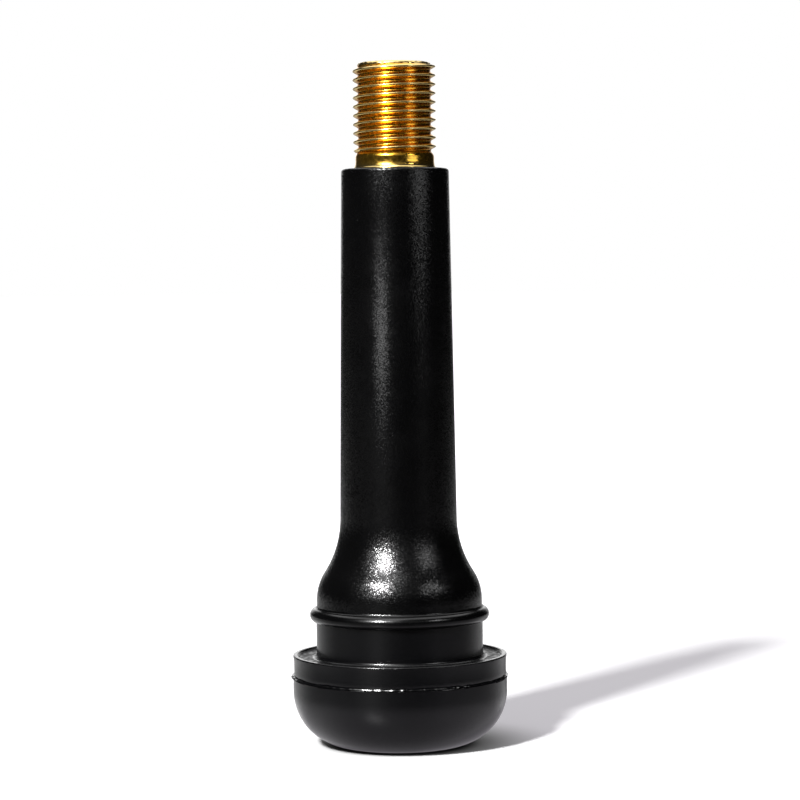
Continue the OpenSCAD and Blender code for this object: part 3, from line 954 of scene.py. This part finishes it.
@dataclass
class BrassStem:
    """The turned brass stem with its cap thread outside and core thread inside."""

    length: float = 61.5
    lead_d: float = 6.6
    lead_step: float = 0.04
    lead_edge_r: float = 0.28
    lead_fade: tuple = (61.28, 61.2)
    scuff: float = 0.05
    scuff_depth: float = 0.2
    scuff_wave: tuple = (2.6, (4.2, 1.1, 7.0))
    shank_d: float = 7.08
    collar_d: float = 7.5
    collar_foot: float = 50.4
    collar_show: float = 0.06
    rubber_z: float = 52.0
    flare_foot: tuple = (-0.12, 0.19)
    flare_top: tuple = (0.03, 0.34)
    flare_z: float = 52.6
    shoulder_z: float = 53.0
    shoulder_curve: float = 1.1
    thread_foot: float = 53.46
    run_out_slope: float = 0.9
    insert_d: float = 6.5
    key_count: int = 5
    key_first: float = 19.2
    key_spacing: float = 3.6
    key_w: float = 1.4
    key_depth: float = 0.3
    foot_d: float = 9.0
    foot_t: float = 1.2
    foot_z: float = 14.4
    bore_d: float = 3.0
    mouth_d: float = 5.7
    mouth_run: float = 0.25
    core_bore_d: float = 4.92
    seat_top: float = 53.4
    seat_run: float = 0.3
    seat_d: float = 4.4
    seat_foot: float = 52.1
    chamber_d: float = 3.9
    chamber_foot: float = 41.48
    around: int = 224
    cap_thread: Thread = Thread(0.79375, 3.73, 3.28, 61.13, 20, flank=0.35, rounding=0.6, crest=0.045)
    core_thread: Thread = Thread(0.70556, 2.65, 2.28, 57.0, 10)
    cap_rings: tuple = (-206, 3)
    core_rings: tuple = (-42, 56)

    def key_grooves(self) -> list[tuple[float, float]]:
        """Lists the lower and upper height of each key groove, from the lowest up."""
        lows = [self.key_first + k * self.key_spacing for k in range(self.key_count)]
        return [(low, low + self.key_w) for low in lows]

    def build(self, finishes: Finishes) -> list[bpy.types.Object]:
        """Turns the stem's section and presses both threads into it.

        Args:
            finishes: The valve's materials.

        Returns:
            The finished piece.
        """
        pen = SectionPen(self.bore_d / 2, self.foot_z)
        self._draw_outside(pen)
        self._draw_bore(pen)
        bm = pen.close().turn(self.around)
        self.cap_thread.press(bm, self.shank_d / 2, *self.cap_rings, self._limit_cap_thread)
        self.core_thread.press(bm, self.core_bore_d / 2, *self.core_rings, self._limit_core_thread)
        self._scuff_lead(bm)
        return [set_piece("stem_turning", bm, Place("brass_stem", Body.STEM, Slot.STEM_BRASS), finishes)]

    def _draw_outside(self, pen: SectionPen) -> None:
        """Draws the foot flange, the keyed insert, the flare, the cap thread's bed and the lead."""
        insert_r, shank_r, lead_r = self.insert_d / 2, self.shank_d / 2, self.lead_d / 2
        flange_top = self.foot_z + self.foot_t
        pen.line(self.foot_d / 2, self.foot_z, soft=0.1).line(self.foot_d / 2, flange_top, soft=0.1)
        pen.line(insert_r, flange_top)
        for low, high in self.key_grooves():
            pen.line(insert_r, low).line(insert_r - self.key_depth, low)
            pen.line(insert_r - self.key_depth, high).line(insert_r, high)
        pen.line(insert_r, self.collar_foot - (self.collar_d - self.insert_d) / 2)
        collar_r = self.collar_d / 2
        pen.line(collar_r, self.collar_foot).line(collar_r, self.rubber_z + self.collar_show, soft=0.04)
        for side_r, (out, up) in ((collar_r, self.flare_foot), (shank_r, self.flare_top)):
            pen.line(side_r + out, self.rubber_z + up)
        pen.line(shank_r, self.flare_z)
        low, high = self.cap_rings
        pen.line(shank_r, self.cap_thread.ring_z(low))
        pen.line(shank_r, self.cap_thread.ring_z(high), cuts=high - low - 1)
        pen.line(lead_r, self.cap_thread.ring_z(high) + self.lead_step)
        edge_z = self.length - self.lead_edge_r
        pen.line(lead_r, edge_z).arc(lead_r - self.lead_edge_r, edge_z, 90.0, steps=8)

    def _draw_bore(self, pen: SectionPen) -> None:
        """Draws the countersunk mouth, the core thread's bed, the seat, the chamber and the air bore."""
        low, high = self.core_rings
        core_r = self.core_bore_d / 2
        pen.line(self.mouth_d / 2, self.length, soft=0.05).line(core_r, self.core_thread.ring_z(high))
        pen.line(core_r, self.core_thread.ring_z(low), cuts=high - low - 1)
        pen.line(self.seat_d / 2, self.seat_top).line(self.chamber_d / 2, self.seat_foot)
        pen.line(self.chamber_d / 2, self.chamber_foot)
        pen.line(self.bore_d / 2, self.chamber_foot - (self.chamber_d - self.bore_d) / 2)

    def _scuff_lead(self, bm: bmesh.types.BMesh) -> None:
        """Bruises the plain lead at the tip a little, as handling does."""
        foot = self.cap_thread.ring_z(self.cap_rings[1])
        for vert in bm.verts:
            r = math.hypot(vert.co.x, vert.co.y)
            if abs(r - self.lead_d / 2) <= self.scuff_depth and vert.co.z >= foot:
                push_out(vert, self.scuff * waver(vert.co, *self.scuff_wave))

    def _limit_cap_thread(self, z: float, r: float) -> float:
        """Ends the cap thread in the lead above and in the shank below.

        Args:
            z: Height.
            r: Radius of the endless thread there.

        Returns:
            The radius that is left.
        """
        lead_r, shank_r = self.lead_d / 2, self.shank_d / 2
        kept = lead_r + (r - lead_r) * smooth_step(z, *self.lead_fade)
        above = max(0.0, z - self.shoulder_z)
        shoulder = max(self.cap_thread.root_r, shank_r - self.shoulder_curve * above * above)
        run_out = shank_r + max(0.0, z - self.thread_foot) * self.run_out_slope
        return max(shoulder, min(kept, run_out) if z > self.thread_foot else 0.0)

    def _limit_core_thread(self, z: float, r: float) -> float:
        """Ends the core thread in the countersunk mouth above and in the seat's cone below.

        Args:
            z: Height.
            r: Radius of the endless thread there.

        Returns:
            The radius that is left.
        """
        low, high = (self.core_thread.ring_z(i) for i in self.core_rings)
        bed, wide = self.core_bore_d / 2, self.core_thread.crest_r
        opened = wide + (r - wide) * smooth_step(z, high, high - self.mouth_run)
        return bed + (opened - bed) * smooth_step(z, low, low + self.seat_run)


@dataclass
class CorePlug:
    """The core's threaded plug, with two flats for the core tool and a swivel spigot."""

    hole_d: float = 1.9
    head_d: float = 4.44
    flats: float = 2.6
    head_top: float = 59.89
    head_chamfer: float = 0.12
    hole_chamfer: float = 0.1
    thread_bed_d: float = 4.76
    thread_foot: float = 54.69
    thread_top: float = 57.69
    thread_fade: float = 0.22
    bed_step: float = 0.14
    spigot_d: float = 2.76
    flange_d: float = 3.4
    flange_top: float = 54.11
    spigot_foot: float = 53.61
    around: int = 180
    thread: Thread = Thread(0.70556, 2.60, 2.2, 57.0, 10, flank=0.36)
    rings: tuple = (-30, 9)

    def build(self, finishes: Finishes) -> list[bpy.types.Object]:
        """Turns the plug, presses its thread and mills the two flats.

        Args:
            finishes: The valve's materials.

        Returns:
            The finished piece.
        """
        low, high = self.rings
        head_r, bed_r, hole_r = self.head_d / 2, self.thread_bed_d / 2, self.hole_d / 2
        flange_r, edge_z = self.flange_d / 2, self.head_top - self.head_chamfer
        pen = SectionPen(hole_r, self.spigot_foot)
        pen.line(flange_r, self.spigot_foot, soft=0.06).line(flange_r, self.flange_top, soft=0.06)
        pen.line(self.spigot_d / 2, self.flange_top).line(self.spigot_d / 2, self.thread_foot)
        pen.line(bed_r - self.bed_step, self.thread_foot, soft=0.05).line(bed_r, self.thread.ring_z(low))
        pen.line(bed_r, self.thread.ring_z(high), cuts=high - low - 1)
        pen.line(bed_r - self.bed_step, self.thread_top, soft=0.05).line(head_r, self.thread_top)
        pen.line(head_r, edge_z, soft=0.04, cuts=4)
        pen.line(head_r - self.head_chamfer, self.head_top, soft=0.04)
        pen.line(hole_r + self.hole_chamfer, self.head_top, soft=0.04)
        pen.line(hole_r, self.head_top - self.hole_chamfer, soft=0.04)
        bm = pen.close().turn(self.around)
        self.thread.press(bm, bed_r, low, high, self._limit_thread)
        for vert in bm.verts:
            if vert.co.z > self.thread_top - TOUCH and math.hypot(vert.co.x, vert.co.y) < head_r + 10 * TOUCH:
                half = self.flats / 2 - max(0.0, vert.co.z - self.head_top + self.head_chamfer)
                vert.co.y = min(half, max(-half, vert.co.y))
        return [set_piece("plug_turning", bm, Place("core_plug", Body.PLUG, Slot.CORE_BRASS), finishes)]

    def _limit_thread(self, z: float, r: float) -> float:
        """Fades the thread out at both ends of its bed.

        Args:
            z: Height.
            r: Radius of the endless thread there.

        Returns:
            The radius that is left.
        """
        low, high = (self.thread.ring_z(i) for i in self.rings)
        ends = smooth_step(z, low, low + self.thread_fade) * smooth_step(z, high, high - self.thread_fade)
        return self.thread.root_r + (r - self.thread.root_r) * ends


@dataclass
class CoreBarrel:
    """The core's barrel, crimped round the plug's spigot, with its tapered gasket."""

    floor_hole_d: float = 1.9
    floor_top: float = 47.87
    spring_bore_d: float = 2.8
    pocket_d: float = 3.48
    pocket_foot: float = 53.57
    crimp_foot: float = 54.15
    crimp_d: float = 2.84
    top: float = 54.65
    head_d: float = 4.1
    gasket_top: float = 53.3
    gasket_foot: float = 51.3
    gasket_bore_d: float = 3.4
    barrel_d: float = 3.6
    foot: float = 47.47
    edge_d: float = 2.5
    edge_h: float = 0.25
    seat_foot: float = 52.1
    seat_r_foot: float = 1.95
    gasket_top_r: float = 2.18
    clearance: float = 0.04
    around: int = 128

    def build(self, finishes: Finishes) -> list[bpy.types.Object]:
        """Turns the barrel and its gasket.

        Args:
            finishes: The valve's materials.

        Returns:
            The finished pieces.
        """
        return [self._barrel(finishes), self._gasket(finishes)]

    def _barrel(self, finishes: Finishes) -> bpy.types.Object:
        """Turns the barrel with its rolled crimp and its sealing edge."""
        pen = SectionPen(self.floor_hole_d / 2, self.floor_top)
        pen.line(self.spring_bore_d / 2, self.floor_top).line(self.spring_bore_d / 2, self.pocket_foot)
        pen.line(self.pocket_d / 2, self.pocket_foot).line(self.pocket_d / 2, self.crimp_foot)
        pen.line(self.crimp_d / 2, self.crimp_foot, soft=0.04).line(self.crimp_d / 2, self.top, soft=0.08)
        pen.line(self.head_d / 2, self.top, soft=0.22).line(self.head_d / 2, self.gasket_top, soft=0.06)
        pen.line(self.gasket_bore_d / 2, self.gasket_top).line(self.gasket_bore_d / 2, self.gasket_foot)
        pen.line(self.barrel_d / 2, self.gasket_foot, soft=0.04).line(self.barrel_d / 2, self.foot, soft=0.08)
        edge_r, half = self.edge_d / 2, self.edge_h / 2
        pen.line(edge_r + half, self.foot).line(edge_r, self.foot - self.edge_h, soft=0.03)
        pen.line(edge_r - half, self.foot).line(self.floor_hole_d / 2, self.foot, soft=0.04)
        bm = pen.close().turn(self.around)
        return set_piece("barrel_turning", bm, Place("core_barrel", Body.BARREL, Slot.CORE_BRASS), finishes)

    def _gasket(self, finishes: Finishes) -> bpy.types.Object:
        """Turns the tapered gasket."""
        inner = self.gasket_bore_d / 2
        outer = self.seat_r_foot - self.clearance
        pen = SectionPen(inner, self.gasket_foot)
        pen.line(outer, self.gasket_foot, soft=0.06).line(outer, self.seat_foot, soft=0.1)
        pen.line(self.gasket_top_r - self.clearance, self.gasket_top, soft=0.06).line(inner, self.gasket_top)
        bm = pen.close().turn(self.around)
        return set_piece("gasket_ring", bm, Place("barrel_gasket", Body.BARREL, Slot.SEAL), finishes)


@dataclass
class CorePin:
    """The pin that an inflator pushes, with the cup and washer on its foot."""

    pin_d: float = 1.2
    head_d: float = 1.5
    head_h: float = 0.5
    top: float = 61.14
    collar_d: float = 2.4
    collar_foot: float = 52.86
    collar_top: float = 53.21
    rivet_d: float = 1.7
    rivet_chamfer: float = 0.17
    foot: float = 44.98
    cup_d: float = 3.4
    cup_wall: float = 0.22
    cup_foot: float = 45.33
    cup_floor: float = 45.55
    cup_top: float = 47.03
    washer_top: float = 47.18
    gap: float = 0.005
    around: int = 96

    def build(self, finishes: Finishes) -> list[bpy.types.Object]:
        """Turns the pin, the cup and the washer.

        Args:
            finishes: The valve's materials.

        Returns:
            The finished pieces.
        """
        return [self._pin(finishes), self._cup(finishes), self._washer(finishes)]

    def _pin(self, finishes: Finishes) -> bpy.types.Object:
        """Turns the pin with its rounded head, its collar and its riveted foot."""
        pin_r, head_r = self.pin_d / 2, self.head_d / 2
        round_r = self.head_h / 2
        pen = SectionPen(0.0, self.foot)
        rivet_r, head_foot = self.rivet_d / 2, self.top - self.head_h
        pen.line(rivet_r - self.rivet_chamfer, self.foot, soft=0.08)
        pen.line(rivet_r, self.foot + self.rivet_chamfer, soft=0.08)
        pen.line(rivet_r, self.cup_foot).line(pin_r, self.cup_foot)
        pen.line(pin_r, self.collar_foot).line(self.collar_d / 2, self.collar_foot, soft=0.05)
        pen.line(self.collar_d / 2, self.collar_top, soft=0.05).line(pin_r, self.collar_top)
        pen.line(pin_r, head_foot - (head_r - pin_r), soft=0.1).line(head_r, head_foot, soft=0.1)
        pen.line(head_r, self.top - round_r).arc(head_r - round_r, self.top - round_r, 90.0, steps=7)
        bm = pen.line(0.0, self.top).turn(self.around)
        return set_piece("pin_turning", bm, Place("core_pin", Body.PIN, Slot.CORE_BRASS), finishes)

    def _cup(self, finishes: Finishes) -> bpy.types.Object:
        """Turns the pressed cup."""
        inner, outer, wall = self.pin_d / 2 + self.gap, self.cup_d / 2, self.cup_wall
        pen = SectionPen(inner, self.cup_foot)
        pen.line(outer - wall, self.cup_foot, soft=0.06).line(outer, self.cup_floor, soft=0.06)
        pen.line(outer, self.cup_top, soft=0.06).line(outer - wall, self.cup_top, soft=0.06)
        pen.line(outer - wall, self.cup_floor).line(inner, self.cup_floor)
        bm = pen.close().turn(self.around)
        return set_piece("cup_pressing", bm, Place("pin_cup", Body.PIN, Slot.CORE_BRASS), finishes)

    def _washer(self, finishes: Finishes) -> bpy.types.Object:
        """Turns the sealing washer that fills the cup."""
        inner, outer = self.pin_d / 2 + self.gap, self.cup_d / 2 - self.cup_wall - self.gap
        pen = SectionPen(inner, self.cup_floor + self.gap)
        pen.line(outer, self.cup_floor + self.gap).line(outer, self.washer_top, soft=0.1)
        pen.line(inner, self.washer_top, soft=0.04)
        bm = pen.close().turn(self.around)
        return set_piece("cup_washer", bm, Place("cup_gasket", Body.PIN, Slot.SEAL), finishes)


@dataclass
class CoreSpring:
    """The coil spring in the barrel, with a closed turn at each end."""

    wire_d: float = 0.3
    coil_d: float = 2.1
    turns: int = 5
    closed_rise: float = 0.32
    floor_z: float = 47.87
    low: float = 48.06
    high: float = 52.67
    stroke: float = 1.2
    steps_per_turn: int = 40
    sides: int = 12

    def build(self, finishes: Finishes) -> list[bpy.types.Object]:
        """Sweeps the wire up its three stretches and caps both ends.

        Args:
            finishes: The valve's materials.

        Returns:
            The finished piece.
        """
        bm = bmesh.new()
        bmesh.ops.create_circle(bm, segments=self.sides, radius=self.wire_d / 2)
        bmesh.ops.rotate(bm, verts=bm.verts, cent=(0.0, 0.0, 0.0),
                         matrix=Euler((math.pi / 2, 0.0, 0.0)).to_matrix())
        bmesh.ops.translate(bm, verts=bm.verts, vec=(self.coil_d / 2, 0.0, self.low))
        bmesh.ops.holes_fill(bm, edges=bm.edges)
        rise = self.high - self.low - 2 * self.closed_rise
        last = bm.verts[:] + bm.edges[:]
        for turns, climb in ((1, self.closed_rise), (self.turns, rise), (1, self.closed_rise)):
            steps = turns * self.steps_per_turn
            swept = bmesh.ops.spin(bm, geom=last, cent=(0.0, 0.0, 0.0), axis=(0.0, 0.0, 1.0),
                                   dvec=(0.0, 0.0, climb / steps), angle=turns * FULL_TURN,
                                   steps=steps, use_merge=False)
            last = swept["geom_last"]
        bmesh.ops.holes_fill(bm, edges=[e for e in bm.edges if e.is_boundary])
        bmesh.ops.recalc_face_normals(bm, faces=bm.faces)
        piece = set_piece("spring_coil", bm, Place("core_spring", Body.BARREL, Slot.SPRING_STEEL), finishes)
        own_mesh(piece)
        return [piece]


def toward(azimuth: float, elevation: float) -> Vector:
    """Gives the direction from the valve to a place in the room.

    Args:
        azimuth: Degrees round from the front, positive to the right.
        elevation: Degrees above the floor.

    Returns:
        The unit vector.
    """
    turn, lift = math.radians(azimuth), math.radians(elevation)
    return Vector((math.sin(turn) * math.cos(lift), -math.cos(turn) * math.cos(lift), math.sin(lift)))


@dataclass(frozen=True)
class Patch:
    """A soft pale patch of the room that the glossy surfaces mirror."""

    azimuth: float
    elevation: float
    core: float
    reach: float
    strength: float

    def tone(self, graph: Graph, way: Value) -> bpy.types.NodeSocket:
        """Builds the patch's brightness.

        Args:
            graph: The graph of the room.
            way: Socket of the direction that is looked along.

        Returns:
            The socket of its brightness.
        """
        middle = tuple(toward(self.azimuth, self.elevation))
        near = graph.vector("DOT_PRODUCT", way, middle)
        return graph.ease(near, math.cos(math.radians(self.reach)), math.cos(math.radians(self.core)),
                          0.0, self.strength)


@dataclass(frozen=True)
class Lamp:
    """A soft oval lamp that points at the valve."""

    name: str
    azimuth: float
    elevation: float
    distance: float
    width: float
    height: float
    power: float
    target_z: float = 0.022
    spread: float = 180.0

    def build(self) -> None:
        """Makes the lamp and points it at the valve."""
        lamp = bpy.data.lights.new(self.name, "AREA")
        lamp.shape = "ELLIPSE"
        lamp.size = self.width
        lamp.size_y = self.height
        lamp.energy = self.power
        lamp.spread = math.radians(self.spread)
        made = add_object(self.name, lamp)
        back = toward(self.azimuth, self.elevation)
        made.location = Vector((0.0, 0.0, self.target_z)) + back * self.distance
        made.rotation_euler = back.to_track_quat("Z", "Y").to_euler()
        made.visible_camera = False


@dataclass
class Studio:
    """The plain floor, the white surroundings, the lamps and the camera."""

    lens: float = 126.0
    eye: tuple = (0.36, -252.4, 42.5)
    pitch: float = 2.566
    roll: float = 0.6
    floor_half: float = 6.0
    floor_rough: float = 0.3
    floor_tone: float = 0.8
    floor_glow: tuple = (1.0, 0.95, 1.04, 1.0)
    floor_mirror: float = 0.1
    # Painted contact shade: the floor's colour drops from 0.8 to 0.1 under the edge of the foot
    painted_contact_shade: Ease = (0.0056, 0.0076, 0.1)
    near_glow: float = 0.32
    near_range: Ease = (0.007, 0.016)
    far_range: Ease = (0.105, 0.16)
    # Painted reflections: the floor's colour as mirrored rays see it, a painted pool of light near the valve,
    # paler to the left and behind, with painted shade to the right and at the front
    painted_side_shade: Ease = (0.7, -0.7, 0.13, 0.22)
    painted_front_shade: Ease = (-1.0, -0.2, 0.22, 1.0)
    painted_back_light: Ease = (0.0, 0.95, 0.0, 0.5)
    painted_pool_r: float = 0.0155
    painted_pool_base: float = 0.5
    painted_pool_peak: float = 1.3
    painted_pool_reach: Ease = (0.12, 0.6, 1.0, 0.05)
    # Painted reflections: floor glow that only mirrored rays see, round the foot and to the right
    painted_right_reflection: Ease = (0.1, 0.8, 0.0, 0.12)
    painted_right_reach: Ease = (0.15, 0.05)
    painted_foot_reflection: Ease = (0.034, 0.011, 0.0, 0.28)
    ambient: tuple = (0.3, 0.3, 0.3, 1.0)
    white: tuple = (1.0, 1.0, 1.0, 1.0)
    dark: float = 0.008
    left_glow: float = 0.025
    left_range: Ease = (0.1, -0.9)
    back_range: Ease = (0.88, 0.985)
    back_ease: Ease = (0.2, -0.25, 0.7, 1.1)
    ceiling_lean: float = 0.33
    ceiling_ease: Ease = (0.77, 0.9, 0.0, 1.4)
    patches: tuple = (Patch(-31.0, 38.0, 8.0, 28.0, 1.8), Patch(54.0, 34.0, 2.0, 8.0, 5.5),
                      Patch(52.0, 2.0, 2.0, 6.0, 0.2), Patch(10.0, 38.0, 6.0, 28.0, 0.15),
                      Patch(180.0, 9.0, 4.0, 14.0, 0.9), Patch(-31.0, 67.0, 10.0, 20.0, 2.2))
    lamps: tuple = (Lamp("key_lamp", -31.0, 38.0, 1.2, 0.14, 0.18, 27.0),
                    Lamp("low_lamp", -30.0, 0.0, 0.04, 0.01, 0.01, 0.00007, target_z=0.038, spread=40.0),
                    Lamp("strip_lamp", 53.0, 5.5, 0.1, 0.06, 0.018, 0.0048, target_z=0.057))

    def build(self) -> None:
        """Sets up everything that isn't part of the valve."""
        bpy.context.scene.view_settings.view_transform = "Standard"
        self._floor()
        self._world()
        for lamp in self.lamps:
            lamp.build()
        self._camera()

    def _floor(self) -> None:
        """Lays a pale floor that reads as white and keeps the shadow; its colour has a painted contact shade,
        and mirrored rays see painted light on it.
        """
        bm = bmesh.new()
        bmesh.ops.create_grid(bm, x_segments=2, y_segments=2, size=self.floor_half)
        mesh = bpy.data.meshes.new("studio_floor")
        bm.to_mesh(mesh)
        bm.free()
        material, graph, shader = start_material("studio_floor")
        shader.inputs["Roughness"].default_value = self.floor_rough
        shader.inputs["Emission Color"].default_value = self.floor_glow
        path = graph.node("LightPath").outputs
        mirrored = graph.math("MAXIMUM", path["Is Glossy Ray"], path["Is Transmission Ray"])
        place = graph.node("TexCoord").outputs["Object"]
        away = graph.vector("LENGTH", place)
        across = graph.node("SeparateXYZ", {0: place}).outputs
        right, depth = (graph.math("DIVIDE", across[axis], away) for axis in "XY")
        # Painted reflections: mirrored rays see a floor colour shaded by side, depth and distance, brighter
        # to the left and behind and darker to the right
        side = graph.math("MULTIPLY", graph.ease(right, *self.painted_side_shade),
                          graph.ease(depth, *self.painted_front_shade))
        near = graph.math("ADD", graph.math("DIVIDE", self.painted_pool_r, away), self.painted_pool_base)
        reach = graph.math("MULTIPLY", near, graph.ease(away, *self.painted_pool_reach))
        painted_reflection_tone = graph.math("MULTIPLY", graph.math("ADD", side, graph.ease(depth, *self.painted_back_light)),
                           graph.math("MINIMUM", reach, self.painted_pool_peak))
        # Painted contact shade: every ray but a mirrored one sees the floor's colour darkened under the edge
        # of the foot
        seen = graph.ease(away, *self.painted_contact_shade, self.floor_tone)
        graph.put(shader.inputs["Base Color"], graph.grey(graph.mix(mirrored, seen, painted_reflection_tone)))
        fill = graph.ease(away, *self.near_range, 0.0, self.near_glow)
        glow = graph.ease(away, *self.far_range, fill, 1.0)
        # Painted reflections: the floor glows for mirrored rays only, round the foot and to the right, so
        # that the rubber mirrors more light there
        lifted = graph.math("MULTIPLY", graph.ease(right, *self.painted_right_reflection),
                            graph.ease(away, *self.painted_right_reach))
        painted_reflection_glow = graph.math("ADD", graph.ease(away, *self.painted_foot_reflection), lifted)
        bright = graph.math("ADD", graph.math("MULTIPLY", path["Is Camera Ray"], glow),
                            graph.math("MULTIPLY", mirrored, painted_reflection_glow))
        graph.put(shader.inputs["Emission Strength"], bright)
        graph.put(shader.inputs["Specular IOR Level"], graph.math("MULTIPLY", mirrored, self.floor_mirror))
        mesh.materials.append(material)
        floor = add_object("studio_floor", mesh)

    def _world(self) -> None:
        """Makes white surroundings for the camera, and a dim room with pale patches for what mirrors it."""
        world = bpy.data.worlds.new("studio_world")
        bpy.context.scene.world = world
        world.use_nodes = True
        graph = Graph(world.node_tree)
        background = world.node_tree.nodes["Background"]
        path = graph.node("LightPath").outputs
        way = graph.node("TexCoord").outputs["Generated"]
        place = graph.node("SeparateXYZ", {0: way}).outputs
        tone = graph.ease(place["X"], *self.left_range, self.dark, self.dark + self.left_glow)
        back = graph.ease(place["X"], *self.back_ease)
        tone = graph.math("ADD", tone, graph.ease(place["Y"], *self.back_range, 0.0, back))
        overhead = graph.math("ADD", place["Z"], graph.math("MULTIPLY", place["Y"], self.ceiling_lean))
        tone = graph.math("ADD", tone, graph.ease(overhead, *self.ceiling_ease))
        for patch in self.patches:
            tone = graph.math("ADD", tone, patch.tone(graph, way))
        glossy = graph.math("MAXIMUM", path["Is Glossy Ray"], path["Is Transmission Ray"])
        lit = graph.blend(glossy, self.ambient, graph.grey(tone))
        graph.put(background.inputs["Color"], graph.blend(path["Is Camera Ray"], lit, self.white))
        background.inputs["Strength"].default_value = 1.0

    def _camera(self) -> None:
        """Places the camera."""
        lens = bpy.data.cameras.new("photo_camera")
        lens.lens = self.lens
        lens.sensor_width = 36.0
        lens.clip_start = 0.01
        camera = add_object("photo_camera", lens)
        camera.location = Vector(self.eye) * MM
        camera.rotation_euler = (math.radians(90.0 - self.pitch), math.radians(self.roll), 0.0)
        bpy.context.scene.camera = camera


def main() -> None:
    """Builds the valve from the outside in, then the studio round it."""
    logging.basicConfig(level=logging.INFO, format="%(name)s: %(message)s")
    finishes = Finishes()
    stem = BrassStem()
    pieces = RubberBody().build(stem, finishes) + stem.build(finishes)
    for part in (CorePlug(), CoreBarrel(), CorePin(), CoreSpring()):
        pieces += part.build(finishes)
    for piece in pieces:
        LOG.info("%s: %d faces", piece.name, len(piece.data.polygons))
    Studio().build()


if __name__ == "__main__":
    main()
